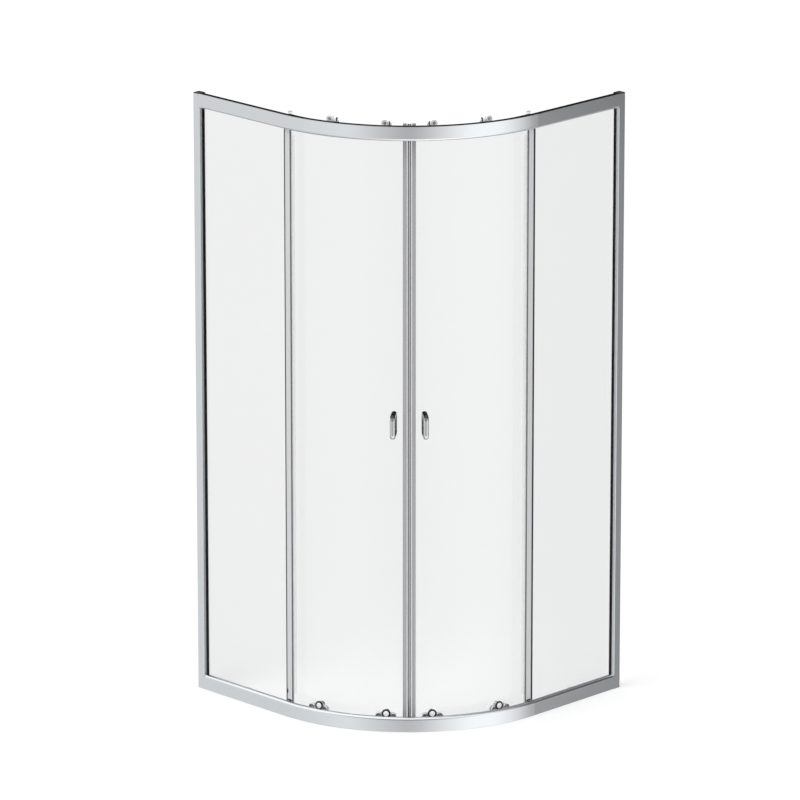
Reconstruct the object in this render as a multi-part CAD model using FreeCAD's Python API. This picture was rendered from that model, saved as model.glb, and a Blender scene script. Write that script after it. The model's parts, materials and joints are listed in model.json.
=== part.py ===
import FreeCAD, Part
import math
import os

# Corner shower enclosure with two flat fixed panes, a bent track and two curved sliding doors.
# The walls are the planes x = -side/2 (left) and y = +side/2 (right), the tray is z = 0.
# Everything on the right is the mirror image of the left, over the plane x + y = 0.
# Depth is counted inwards from the outer face of the rails, and reach from the wall inwards.
# Lengths are in millimetres, angles in degrees from the middle of the bend.

# Plan and height
side = 900.0
bend_radius = 530.0
height = 1850.0

# Fits shared by all pieces
overrun = 2.0
pin_gap = 0.1
running_gap = 0.3
grip_gap = 0.2

# Glass
pane = 5.0
glazing = 1.75
glass_bite = 7.0
glass_past_bend = 20.0
setting_gap = 4.0
setting_block = 40.0
setting_block_shares = (0.2, 0.8)

# Rails
rail_face = 45.0
rail_box = 14.0
rail_wall = 1.8
rail_round = 9.0
rail_edge_round = 1.5
track_wall = 2.0
slot_leg = 1.5
top_lip_drop = 8.0
top_lip_depth = 36.0
top_leg_drop = 30.0
bottom_lip_height = 30.0
bottom_lip_depth = 40.0
gasket_recess = 1.0
slot_end = rail_box + pane + 2 * glazing
pane_depth = rail_box + glazing

# Posts and wall profiles
wall_strip = 1.0
post_reach = 26.5
post_wall = 1.6
post_return = 9.5
post_round = 2.0
post_web = post_reach - glass_bite - grip_gap - post_wall
post_depth = slot_end + post_wall
channel_gap = 0.5
channel_wall = 1.5
channel_reach = 16.0
wall_hole_radius = 2.75
wall_hole_inset = 120.0
wall_holes = 4
end_cap = 2.0
end_plug = 6.0
post_top = height - end_cap

# Screws in the frame
post_screw_radius = 1.9
post_screw_head = 3.5
post_screw_head_height = 2.0
post_screw_tail = 4.0
post_screw_inset = 175.0
post_screw_count = 3
screw_cap_wall = 1.2
screw_cap_round = 1.5
rail_screw_radius = 1.75
rail_screw_head = 2.7
rail_screw_head_height = 2.0
rail_screw_length = 20.0
rail_screw_inset = 12.0
rail_screw_spacing = 21.0
corner_block = 24.0

# Trim on the free edge of the fixed panes
edge_wall = 1.3
edge_lap = 17.0
edge_rib = 0.7
edge_rib_shares = (0.12, 0.42, 0.58, 0.88)
edge_lip = 5.0
edge_lip_round = 1.0
edge_fin = 1.2
edge_fin_depth = 37.0
edge_seal_foot = 9.0
edge_seal_base = 1.4
edge_seal_lift = 22.0

# Doors
door_depth = 47.0
door_low = 20.0
door_top_drop = 4.0
door_glass_drop = 12.0
door_hole_radius = 4.5
trailing_angle = 47.0
door_high = height - door_top_drop
glass_high = height - door_glass_drop
door_back = door_depth + pane
door_radius = bend_radius - door_depth

# Leading edge, counted along the arc from the middle
magnet_gap = 0.4
magnet_width = 4.2
holder_width = 3.4
lead_width = 11.0
lead_wall = 1.8
magnet_inset = 0.3
holder_inset = 0.6

# Trailing edge
trail_width = 12.0
trail_wall = 1.3
trail_fin_depth = 39.0
trail_fin_lift = 46.0

# Rollers
wheel_width = 6.0
wheel_edge = 0.8
wheel_recess = 2.7
top_wheel_radius = 10.0
top_wheel_depth = 31.0
bottom_wheel_radius = 9.0
bottom_wheel_depth = 33.0
axle_radius = 2.6
axle_head = 4.2
axle_head_height = 1.8
axle_collar = 4.6
top_roller_angles = (8.2, 27.5)
bottom_roller_angles = (8.0, 33.0)
top_wheel_height = height - top_lip_drop + top_wheel_radius + running_gap
bottom_wheel_height = bottom_lip_height + bottom_wheel_radius + running_gap

# Hangers over the top edge of the door glass
hanger_depth = 43.0
hanger_half = 11.0
hanger_shift = 6.0
hanger_back = 3.6
hanger_drop = 30.0
hanger_bridge = 5.0
hanger_rise = 1.0
hanger_lug = 5.5
hanger_round = 1.2
hanger_front = door_depth - 2 * grip_gap - hanger_depth
hanger_bolt_height = height - hanger_drop

# Yokes with two wheels each at the bottom
yoke_half_base = 22.0
yoke_end_radius = 8.0
yoke_boss_radius = 10.5
yoke_bolt_height = 45.0
yoke_thickness = hanger_front

# Clamp bolts and cap nuts
bolt_radius = 3.0
sunk_head = 6.0
sunk_depth = 2.6
dome_radius = 12.0
dome_height = 6.0
dome_round = 3.5
cap_radius = 9.5
cap_height = 8.5
cap_round = 4.0
cap_floor = 3.0

# Handles
handle_angle = 5.55
handle_height = 935.0
handle_half = 37.4
handle_reach = 33.0
handle_bar = 9.0
handle_leg = 9.0
handle_width = 16.0
handle_round = 17.0
handle_inner_round = 10.0
handle_edge = 6.0
handle_inner_edge = 2.0
stud_radius = 2.5
stud_bite = 16.0

# Bumpers that end the travel, on the lip of the bottom rail
stop_from_bend = 177.0
stop_length = 12.0
stop_rise = 8.0
stop_round = 3.0
stop_inset = 3.0

UP = FreeCAD.Vector(0, 0, 1)
OUT = FreeCAD.Vector(0, -1, 0)
ALONG = FreeCAD.Vector(1, 0, 0)
MIDDLE = FreeCAD.Vector(0, 0, 0)
MIRROR = FreeCAD.Vector(1, 1, 0)
half_side = side / 2
bend_x = half_side - bend_radius
BEND = FreeCAD.Vector(bend_x, -bend_x, 0)
quarter = 90.0
mid_angle = quarter / 2


def at_rail(depth, z, x=bend_x):
    """Point of the left side at a depth behind the outer face."""
    return FreeCAD.Vector(x, depth - half_side, z)


def at_post(reach, depth):
    """Point on the tray at a reach from the left wall and a depth behind the outer face."""
    return FreeCAD.Vector(reach - half_side, depth - half_side, 0)


def rounded_corner(before, corner, after, radius):
    """Start, middle and end of the arc that rounds one corner."""
    back = (before - corner).normalize()
    ahead = (after - corner).normalize()
    half = back.getAngle(ahead) / 2
    run = radius / math.tan(half)
    bulge = radius / math.sin(half) - radius
    middle = corner + (back + ahead).normalize() * bulge
    return corner + back * run, middle, corner + ahead * run


def outline(corners, place):
    """Closed wire through (a, b) corners, rounded where a corner carries a radius."""
    points = [place(corner[0], corner[1]) for corner in corners]
    arcs = []
    for i, corner in enumerate(corners):
        radius = corner[2] if len(corner) > 2 else 0
        after = points[(i + 1) % len(points)]
        if radius:
            arcs.append(rounded_corner(points[i - 1], points[i], after, radius))
        else:
            arcs.append((points[i],))
    edges = []
    for i, arc in enumerate(arcs):
        if len(arc) > 1:
            edges.append(Part.Arc(*arc).toShape())
        start = arc[-1]
        end = arcs[(i + 1) % len(arcs)][0]
        if not start.isEqual(end, Part.Precision.confusion()):
            edges.append(Part.LineSegment(start, end).toShape())
    return Part.Wire(edges)


def section(place, outer, *holes):
    """Flat face with an outer outline and any closed cavities."""
    wires = [outline(outer, place)]
    wires += [outline(hole, place) for hole in holes]
    return Part.makeFace(wires, "Part::FaceMakerBullseye")


def rectangle(a0, b0, a1, b1):
    """Corners of a rectangle between two opposite corners."""
    return [(a0, b0), (a1, b0), (a1, b1), (a0, b1)]


def upright(corners, z0, z1, *holes):
    """Extrusion standing from z0 to z1, drawn as reach and depth."""
    solid = section(at_post, corners, *holes).extrude(UP * (z1 - z0))
    return solid.translated(UP * z0)


def plate(corners, depth0, depth1):
    """Plate between two depths, drawn as x and z about the end of the bend."""
    def place(x, z):
        return at_rail(depth0, z, bend_x + x)
    return section(place, corners).extrude(OUT * (depth0 - depth1))


def turned(corners, x, z):
    """Solid of revolution about an axis square to the rail face, drawn as depth and radius."""
    def place(depth, radius):
        return at_rail(depth, z + radius, x)
    return section(place, corners).revolve(at_rail(0, z, x), OUT, 4 * quarter)


def drill(radius, depth0, depth1, x, z):
    """Round bore square to the rail face."""
    return Part.makeCylinder(radius, depth1 - depth0, at_rail(depth0, z, x), OUT * -1)


def drill_along(radius, reach0, reach1, depth, z):
    """Round bore along the left rail."""
    start = at_post(reach0, depth) + UP * z
    return Part.makeCylinder(radius, reach1 - reach0, start, ALONG)


def on_bend(shape, angle):
    """Copy of a piece drawn at the end of the bend, turned to its angle from the middle."""
    return shape.rotated(BEND, UP, mid_angle - angle)


def arc_plate(depth0, depth1, angle0, angle1, z0, z1):
    """Upright curved plate between two depths and two angles of the left door."""
    def point(depth, angle):
        radius = bend_radius - depth
        turn = math.radians(-mid_angle - angle)
        return BEND + FreeCAD.Vector(radius * math.cos(turn), radius * math.sin(turn), z0)

    def arc(depth, start, end):
        middle = point(depth, (start + end) / 2)
        return Part.Arc(point(depth, start), middle, point(depth, end)).toShape()

    def line(angle, start, end):
        return Part.LineSegment(point(start, angle), point(end, angle)).toShape()

    edges = [
        arc(depth0, angle0, angle1),
        line(angle1, depth0, depth1),
        arc(depth1, angle1, angle0),
        line(angle0, depth1, depth0),
    ]
    return Part.Face(Part.Wire(edges)).extrude(UP * (z1 - z0))


def arc_angle(length):
    """Angle from the middle that a length along the outer face of the door glass takes."""
    return math.degrees(length / door_radius)


def mirrored(shape):
    """The same piece on the right."""
    return shape.mirror(MIDDLE, MIRROR)


def both(shapes):
    """Left pieces and their mirror images as one group."""
    return Part.makeCompound(shapes + [mirrored(shape) for shape in shapes])


def spread(low, high, count):
    """Evenly spaced places from low to high."""
    return [low + (high - low) * i / (count - 1) for i in range(count)]


def bent(face):
    """A rail section carried along the left straight, round the bend and along the right."""
    run = side - bend_radius - post_reach
    left = face.extrude(ALONG * -run)
    bend = face.revolve(BEND, UP, quarter)
    right = face.rotated(BEND, UP, quarter).extrude(FreeCAD.Vector(0, run, 0))
    return left.fuse([bend, right]).removeSplitter()


# Rails and posts

def top_rail():
    """Hollow face box with the glass slot and the flat lip that carries the top wheels."""
    low = height - rail_face
    lip = height - top_lip_drop
    leg_end = height - top_leg_drop
    face = [
        (0, height, rail_edge_round), (0, low, rail_round), (rail_box, low),
        (rail_box, lip - track_wall), (slot_end, lip - track_wall), (slot_end, leg_end),
        (slot_end + slot_leg, leg_end), (slot_end + slot_leg, lip - track_wall),
        (top_lip_depth, lip - track_wall), (top_lip_depth, lip), (rail_box, lip),
        (rail_box, height),
    ]
    cavity = [
        (rail_wall, height - rail_wall), (rail_wall, low + rail_wall, rail_round - rail_wall),
        (rail_box - rail_wall, low + rail_wall), (rail_box - rail_wall, height - rail_wall),
    ]
    return bent(section(at_rail, face, cavity))


def bottom_rail():
    """Hollow face box with the glass slot and a hollow step that carries the bottom wheels."""
    face = [
        (0, 0, rail_edge_round), (bottom_lip_depth, 0), (bottom_lip_depth, bottom_lip_height),
        (slot_end, bottom_lip_height), (slot_end, track_wall), (rail_box, track_wall),
        (rail_box, rail_face), (0, rail_face, rail_round),
    ]
    cavity = [
        (rail_wall, rail_wall), (rail_box - rail_wall, rail_wall),
        (rail_box - rail_wall, rail_face - rail_wall),
        (rail_wall, rail_face - rail_wall, rail_round - rail_wall),
    ]
    step = rectangle(slot_end + slot_leg, track_wall,
                     bottom_lip_depth - slot_leg, bottom_lip_height - track_wall)
    return bent(section(at_rail, face, cavity, step))


def post_screw_places():
    """Heights of the adjusting screws in a post."""
    return spread(post_screw_inset, height - post_screw_inset, post_screw_count)


def post_screw_reach():
    """Reach of the adjusting screws, midway along the wall channel."""
    return (wall_strip + channel_reach) / 2


def rail_screw_places():
    """Heights of the screws that tie both rail ends to a post."""
    low = [rail_screw_inset, rail_screw_inset + rail_screw_spacing]
    return low + [height - z for z in low]


def rail_screw_depth():
    """Depth of those screws, in the middle of the front box of the post."""
    return post_return / 2


def frame_post():
    """Post with a front box, a glazing pocket and a channel that slides over the wall profile."""
    bands = [
        (0, rail_face, 0), (rail_face, height - rail_face, post_round),
        (height - rail_face, post_top, 0),
    ]
    low, middle, high = [
        upright(post_corners(radius), z0, z1, post_cavity(0)) for z0, z1, radius in bands
    ]
    post = low.fuse([middle, high]).removeSplitter()
    x = post_screw_reach() - half_side
    bores = [
        drill(post_screw_radius + pin_gap, slot_end - overrun, post_depth + overrun, x, z)
        for z in post_screw_places()
    ]
    side_wall = post_reach - post_wall
    bores += [
        drill_along(rail_screw_radius + pin_gap, side_wall - pin_gap, post_reach + overrun,
                    rail_screw_depth(), z)
        for z in rail_screw_places()
    ]
    return post.cut(bores)


def post_corners(radius):
    """Outline of the post, with its front edge rounded by a radius."""
    return [
        (wall_strip, 0), (post_reach, 0, radius), (post_reach, post_return),
        (post_web + post_wall, post_return), (post_web + post_wall, slot_end),
        (post_reach, slot_end), (post_reach, post_depth), (wall_strip, post_depth),
        (wall_strip, slot_end), (post_web, slot_end), (post_web, post_wall),
        (wall_strip, post_wall),
    ]


def post_cavity(gap):
    """Hollow of the front box of the post, drawn smaller by a gap."""
    return rectangle(post_web + post_wall + gap, post_wall + gap,
                     post_reach - post_wall - gap, post_return - post_wall - gap)


def wall_profile():
    """Channel screwed to the wall, inside the post."""
    front = post_wall + channel_gap
    back = slot_end - channel_gap
    corners = [
        (0, front), (channel_reach, front), (channel_reach, front + channel_wall),
        (channel_wall, front + channel_wall), (channel_wall, back - channel_wall),
        (channel_reach, back - channel_wall), (channel_reach, back), (0, back),
    ]
    profile = upright(corners, 0, post_top)
    bores = [
        drill_along(wall_hole_radius, -overrun, channel_wall + overrun, (front + back) / 2, z)
        for z in spread(wall_hole_inset, height - wall_hole_inset, wall_holes)
    ]
    x = post_screw_reach() - half_side
    bores += [
        drill(post_screw_radius + pin_gap, back - channel_wall - overrun, back + overrun, x, z)
        for z in post_screw_places()
    ]
    return profile.cut(bores)


def post_end_cap():
    """Lid on the post with a plug in its front box."""
    lid = upright(rectangle(wall_strip, 0, post_reach, post_depth), post_top, height)
    plug = upright(post_cavity(grip_gap), post_top - end_plug, post_top)
    return lid.fuse(plug)


def post_screws():
    """Adjusting screws on the inner side of the post."""
    tip = slot_end - post_screw_tail
    top = post_depth + post_screw_head_height
    profile = [
        (tip, 0), (tip, post_screw_radius), (post_depth, post_screw_radius),
        (post_depth, post_screw_head), (top, post_screw_head, post_screw_head_height / 2),
        (top, 0),
    ]
    x = post_screw_reach() - half_side
    return [turned(profile, x, z) for z in post_screw_places()]


def post_screw_caps():
    """Round caps pushed over the heads of the adjusting screws."""
    inner = post_screw_head + pin_gap
    floor = post_depth + post_screw_head_height + pin_gap
    profile = [
        (post_depth, inner), (post_depth, inner + screw_cap_wall),
        (floor + screw_cap_wall, inner + screw_cap_wall, screw_cap_round),
        (floor + screw_cap_wall, 0), (floor, 0), (floor, inner),
    ]
    x = post_screw_reach() - half_side
    return [turned(profile, x, z) for z in post_screw_places()]


def corner_blocks():
    """Blocks in the ends of the face boxes of both rails, bored for the screws."""
    lip = rail_wall + grip_gap
    low = [
        (lip, lip), (rail_box - lip, lip), (rail_box - lip, rail_face - lip),
        (lip, rail_face - lip, rail_round - rail_wall),
    ]
    high = [
        (lip, height - rail_face + lip, rail_round - rail_wall),
        (rail_box - lip, height - rail_face + lip), (rail_box - lip, height - lip),
        (lip, height - lip),
    ]
    start = post_reach - half_side
    bores = [
        drill_along(rail_screw_radius + pin_gap, post_reach - overrun,
                    post_reach + corner_block + overrun, rail_screw_depth(), z)
        for z in rail_screw_places()
    ]

    def place(depth, z):
        return at_rail(depth, z, start)
    blocks = [section(place, corners).extrude(ALONG * corner_block) for corners in (low, high)]
    return [block.cut(bores) for block in blocks]


def rail_screws():
    """Screws from the front box of the post into the corner blocks."""
    seat = post_reach - post_wall
    depth = rail_screw_depth()
    screws = []
    for z in rail_screw_places():
        head = drill_along(rail_screw_head, seat - rail_screw_head_height, seat, depth, z)
        shank = drill_along(rail_screw_radius, seat, seat + rail_screw_length, depth, z)
        screws.append(head.fuse(shank))
    return screws


# Fixed panes

def pane_low():
    """Lower edge of the fixed panes, on setting blocks in the bottom rail."""
    return track_wall + setting_gap


def pane_high():
    """Upper edge of the fixed panes."""
    return height - top_lip_drop - track_wall - setting_gap


def pane_end():
    """Reach of the free edge of the fixed panes."""
    return side - bend_radius + glass_past_bend


def fixed_glass():
    """Flat pane from the post to just past the start of the bend."""
    corners = rectangle(post_reach - glass_bite, pane_depth, pane_end(), pane_depth + pane)
    return upright(corners, pane_low(), pane_high())


def post_gaskets():
    """Gaskets that grip the pane in the post, a thick one outside and a thin one inside."""
    start = post_reach - glass_bite
    z0 = rail_face
    z1 = height - rail_face
    outside = [
        (start, post_return), (post_reach, post_return, glazing / 2),
        (post_reach, pane_depth, glazing / 2), (start, pane_depth),
    ]
    inside = rectangle(start, pane_depth + pane, post_reach, slot_end)
    return [upright(outside, z0, z1), upright(inside, z0, z1)]


def rail_gaskets():
    """Strips on both faces of the pane, in the slots of both rails."""
    front = (rail_box, pane_depth)
    back = (pane_depth + pane, slot_end)
    spans = [
        (front, pane_low(), rail_face - gasket_recess),
        (back, pane_low(), bottom_lip_height),
        (front, height - rail_face + gasket_recess, pane_high()),
        (back, height - top_leg_drop, pane_high()),
    ]
    bend_reach = side - bend_radius
    strips = []
    for (near, far), z0, z1 in spans:
        strips.append(upright(rectangle(post_reach, near, bend_reach, far), z0, z1))
    return strips


def setting_blocks():
    """Blocks on the floor of the slot that carry the pane."""
    start = post_reach - glass_bite
    blocks = []
    for share in setting_block_shares:
        middle = start + (pane_end() - start) * share
        corners = rectangle(middle - setting_block / 2, rail_box + grip_gap,
                            middle + setting_block / 2, slot_end - grip_gap)
        blocks.append(upright(corners, track_wall, pane_low()))
    return blocks


def edge_start():
    """Reach where the edge profile starts."""
    return pane_end() + grip_gap - edge_lap


def edge_gaskets():
    """Rubber lips beside the edge profile, on both faces of the pane."""
    start = edge_start()
    rise = grip_gap + edge_wall
    strips = []
    for face, crown in ((pane_depth, pane_depth - rise), (pane_depth + pane, pane_depth + pane + rise)):
        corners = [(start - edge_lip, face), (start, face), (start, crown),
                   (start - edge_lip, crown, edge_lip_round)]
        strips.append(upright(corners, rail_face + running_gap, height - rail_face - running_gap))
    return strips


def edge_profile():
    """Ribbed channel pushed over the free edge of the pane."""
    near = pane_depth - grip_gap
    far = pane_depth + pane + grip_gap
    end = pane_end() + grip_gap
    start = edge_start()
    corners = [
        (start, near - edge_wall), (end + edge_wall, near - edge_wall),
        (end + edge_wall, far + edge_wall), (start, far + edge_wall), (start, far), (end, far),
        (end, near), (start, near),
    ]
    z0 = rail_face + running_gap
    z1 = height - rail_face - running_gap
    channel = upright(corners, z0, z1)
    grooves = []
    first, second, third, last = [start + edge_lap * share for share in edge_rib_shares]
    for left, right in ((first, second), (third, last)):
        corners = rectangle(left, near - edge_wall - overrun, right, near - edge_wall + edge_rib)
        grooves.append(upright(corners, z0 - overrun, z1 + overrun))
    return channel.cut(grooves)


def edge_seal():
    """Foot and fin on the inner face of the edge profile, cut short above the bottom wheels."""
    face = pane_depth + pane + grip_gap + edge_wall
    end = pane_end()
    corners = [
        (end - edge_seal_foot, face), (end, face), (end, edge_fin_depth, edge_fin / 2),
        (end - edge_fin, edge_fin_depth), (end - edge_fin, face + edge_seal_base),
        (end - edge_seal_foot, face + edge_seal_base),
    ]
    return upright(corners, rail_face + edge_seal_lift, height - rail_face - edge_seal_lift)


def door_stop():
    """Rubber bumper on the lip of the bottom rail, just past the last place of the outer wheel."""
    near = slot_end + stop_inset
    far = bottom_lip_depth - stop_inset
    top = bottom_lip_height + stop_rise
    corners = [
        (-stop_from_bend - stop_length, bottom_lip_height), (-stop_from_bend, bottom_lip_height),
        (-stop_from_bend, top, stop_round), (-stop_from_bend - stop_length, top, stop_round),
    ]
    return plate(corners, near, far)


# Sliding doors

def door_glass():
    """Curved pane with holes for the roller bolts and the handle studs."""
    lead = magnet_gap + magnet_width + holder_width + lead_wall + grip_gap
    trail = trailing_angle - arc_angle(trail_wall + grip_gap)
    glass = arc_plate(door_depth, door_back, arc_angle(lead), trail, door_low, glass_high)
    places = [(angle, hanger_x(), hanger_bolt_height) for angle in top_roller_angles]
    places += [(angle, bend_x, yoke_bolt_height) for angle in bottom_roller_angles]
    places += [(handle_angle, bend_x, z) for z in stud_heights()]
    bores = []
    for angle, x, z in places:
        bore = drill(door_hole_radius, door_depth - overrun, door_back + overrun, x, z)
        bores.append(on_bend(bore, angle))
    return glass.cut(bores)


def magnet_strip():
    """Magnet that meets the one on the other door."""
    start = arc_angle(magnet_gap)
    end = arc_angle(magnet_gap + magnet_width)
    return arc_plate(door_depth + magnet_inset, door_back - magnet_inset, start, end,
                     door_low, door_high)


def magnet_holder():
    """Plastic strip between the magnet and the aluminium edge."""
    start = arc_angle(magnet_gap + magnet_width)
    end = arc_angle(magnet_gap + magnet_width + holder_width)
    return arc_plate(door_depth - holder_inset, door_back + holder_inset, start, end,
                     door_low, door_high)


def magnet_profile():
    """Aluminium channel on the leading edge of the glass."""
    start = magnet_gap + magnet_width + holder_width
    near = door_depth - grip_gap
    far = door_back + grip_gap
    end = arc_angle(start + lead_width)
    block = arc_plate(near - lead_wall, far + lead_wall, arc_angle(start), end,
                      door_low, door_high)
    slot = arc_plate(near, far, arc_angle(start + lead_wall), end + arc_angle(overrun),
                     door_low - overrun, door_high + overrun)
    return block.cut(slot)


def trailing_seal():
    """Channel on the trailing edge of the glass, with a fin towards the fixed pane."""
    near = door_depth - grip_gap
    far = door_back + grip_gap
    start = trailing_angle - arc_angle(trail_width)
    block = arc_plate(near - trail_wall, far + trail_wall, start, trailing_angle,
                      door_low, door_high)
    slot = arc_plate(near, far, start - arc_angle(overrun), trailing_angle - arc_angle(trail_wall),
                     door_low - overrun, door_high + overrun)
    fin = arc_plate(trail_fin_depth, near - trail_wall, trailing_angle - arc_angle(trail_wall),
                    trailing_angle, door_low + trail_fin_lift, door_high - trail_fin_lift)
    return block.cut(slot).fuse(fin).removeSplitter()


def stud_heights():
    """Heights of the two handle studs, in the middle of the legs."""
    rise = handle_half - handle_leg / 2
    return handle_height - rise, handle_height + rise


def handle(seat, way):
    """Half-round bow from its seat on the glass, reaching out (-1) or in (+1)."""
    tip = seat + way * handle_reach
    bar = seat + way * (handle_reach - handle_bar)
    low = handle_height - handle_half
    high = handle_height + handle_half
    corners = [
        (seat, low), (tip, low, handle_round), (tip, high, handle_round), (seat, high),
        (seat, high - handle_leg), (bar, high - handle_leg, handle_inner_round),
        (bar, low + handle_leg, handle_inner_round), (seat, low + handle_leg),
    ]
    start = bend_x - handle_width / 2

    def place(depth, z):
        return at_rail(depth, z, start)

    def is_rim(edge):
        box = edge.BoundBox
        on_side = box.XLength < pin_gap
        on_seat = box.YLength < pin_gap and abs(box.YMin - at_rail(seat, 0).y) < pin_gap
        return on_side and not on_seat

    def is_inside(edge):
        box = edge.BoundBox
        between = box.ZMin > low + handle_leg - pin_gap and box.ZMax < high - handle_leg + pin_gap
        far = max(abs(y - at_rail(seat, 0).y) for y in (box.YMin, box.YMax))
        return between and far < handle_reach - handle_bar + pin_gap
    body = section(place, corners).extrude(ALONG * handle_width)
    for radius, inside in ((handle_edge, False), (handle_inner_edge, True)):
        rim = [edge for edge in body.Edges if is_rim(edge) and is_inside(edge) == inside]
        body = body.makeFillet(radius, rim)
    return body


def handle_pair():
    """Outer and inner handle of a door, bored for the studs."""
    outer = handle(door_depth - grip_gap, -1)
    inner = handle(door_back + grip_gap, 1)
    bores = [
        drill(stud_radius + pin_gap, door_depth - stud_bite - pin_gap,
              door_back + stud_bite + pin_gap, bend_x, z)
        for z in stud_heights()
    ]
    return [on_bend(piece.cut(bores), handle_angle) for piece in (outer, inner)]


def handle_bolts():
    """Studs through the glass that join the two handles."""
    studs = [
        drill(stud_radius, door_depth - stud_bite, door_back + stud_bite, bend_x, z)
        for z in stud_heights()
    ]
    return [on_bend(stud, handle_angle) for stud in studs]


# Rollers

def hanger_x():
    """Middle of a hanger, which sits beside its wheel on the side of the leading edge."""
    return bend_x + hanger_shift


def top_hanger():
    """Saddle over the top edge of the glass: front cheek with an axle lug, bridge and back cheek."""
    left = hanger_shift - hanger_half
    right = hanger_shift + hanger_half
    bend = hanger_half - pin_gap
    low = hanger_bolt_height - hanger_half
    top = glass_high + grip_gap + hanger_bridge
    crown = height + hanger_rise
    front_end = hanger_depth + hanger_front
    back_start = door_back + 2 * grip_gap
    front = plate([(left, low, bend), (right, low, bend), (right, crown, hanger_round),
                   (left, crown, hanger_round)], hanger_depth, front_end)
    lug = drill(hanger_lug, hanger_depth, front_end, bend_x, top_wheel_height)
    back = plate([(left, low, bend), (right, low, bend), (right, top, hanger_round),
                  (left, top, hanger_round)], back_start, back_start + hanger_back)
    bridge = plate(rectangle(left, glass_high + grip_gap, right, top - hanger_round),
                   front_end, back_start)
    saddle = front.fuse([lug, back, bridge]).removeSplitter()
    bores = [
        drill(bolt_radius + pin_gap, hanger_depth - overrun, back_start + hanger_back + overrun,
              hanger_x(), hanger_bolt_height),
        drill(axle_radius + pin_gap, hanger_depth - overrun, front_end + overrun,
              bend_x, top_wheel_height),
        sunk_cone(pin_gap),
    ]
    return saddle.cut(bores)


def sunk_cone(gap):
    """Countersunk head of a top roller bolt, drawn larger by a gap."""
    start = at_rail(hanger_depth, hanger_bolt_height, hanger_x())
    return Part.makeCone(sunk_head + gap, bolt_radius + gap, sunk_depth, start, OUT * -1)


def top_roller_bolt():
    """Countersunk bolt through the hanger and the glass."""
    end = door_back + 2 * grip_gap + hanger_back + cap_height - cap_floor
    shank = drill(bolt_radius, hanger_depth + sunk_depth, end, hanger_x(), hanger_bolt_height)
    return sunk_cone(0).fuse(shank)


def bottom_roller_bolt():
    """Bolt with a wide domed head through the yoke and the glass."""
    crown = hanger_depth - dome_height
    end = door_back + grip_gap + cap_height - cap_floor
    profile = [
        (crown, 0), (crown, dome_radius, dome_round), (hanger_depth, dome_radius),
        (hanger_depth, bolt_radius), (end, bolt_radius), (end, 0),
    ]
    return turned(profile, bend_x, yoke_bolt_height)


def roller_cap(seat, x, z):
    """Domed cap nut on the inner side of the door."""
    end = seat + cap_height
    bore = bolt_radius + pin_gap
    floor = end - cap_floor + pin_gap
    profile = [
        (seat, bore), (seat, cap_radius), (end, cap_radius, cap_round), (end, 0), (floor, 0),
        (floor, bore),
    ]
    return turned(profile, x, z)


def bottom_yoke():
    """Plate that carries two wheels, with a round boss behind the bolt."""
    reach = yoke_half_base + yoke_end_radius
    low = bottom_wheel_height - yoke_end_radius
    high = bottom_wheel_height + yoke_end_radius
    bend = yoke_end_radius - pin_gap
    back = hanger_depth + yoke_thickness
    bar = plate([(-reach, low, bend), (reach, low, bend), (reach, high, bend),
                 (-reach, high, bend)], hanger_depth, back)
    boss = drill(yoke_boss_radius, hanger_depth, back, bend_x, yoke_bolt_height)
    bores = [drill(bolt_radius + pin_gap, hanger_depth - overrun, back + overrun,
                   bend_x, yoke_bolt_height)]
    for x in (-yoke_half_base, yoke_half_base):
        bores.append(drill(axle_radius + pin_gap, hanger_depth - overrun, back + overrun,
                           bend_x + x, bottom_wheel_height))
    return bar.fuse(boss).removeSplitter().cut(bores)


def wheel(radius, depth, x, z):
    """Roller with a plain tread, a bore and a recess for the head of its axle."""
    front = depth - wheel_width / 2
    back = depth + wheel_width / 2
    bore = axle_radius + pin_gap
    recess = axle_head + running_gap
    profile = [
        (front, recess), (front, radius, wheel_edge), (back, radius, wheel_edge), (back, bore),
        (front + wheel_recess, bore), (front + wheel_recess, recess),
    ]
    return turned(profile, x, z)


def wheel_axle(depth, x, z):
    """Pin with a head in the wheel, a collar behind it and a tail in the carrier."""
    seat = depth - wheel_width / 2 + wheel_recess - running_gap
    collar = depth + wheel_width / 2 + running_gap
    end = hanger_depth + hanger_front
    profile = [
        (seat - axle_head_height, 0), (seat - axle_head_height, axle_head), (seat, axle_head),
        (seat, axle_radius), (collar, axle_radius), (collar, axle_collar),
        (hanger_depth, axle_collar), (hanger_depth, axle_radius), (end, axle_radius), (end, 0),
    ]
    return turned(profile, x, z)


def wheel_places():
    """Name, angle, radius, depth, x and height of the six wheels of a door."""
    places = []
    for name, angle in zip(("front", "rear"), top_roller_angles):
        places.append(("top_wheel_" + name, angle, top_wheel_radius, top_wheel_depth,
                       bend_x, top_wheel_height))
    for name, angle in zip(("front", "rear"), bottom_roller_angles):
        for end, x in (("lead", yoke_half_base), ("trail", -yoke_half_base)):
            places.append(("bottom_wheel_" + name + "_" + end, angle, bottom_wheel_radius,
                           bottom_wheel_depth, bend_x + x, bottom_wheel_height))
    return places


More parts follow.
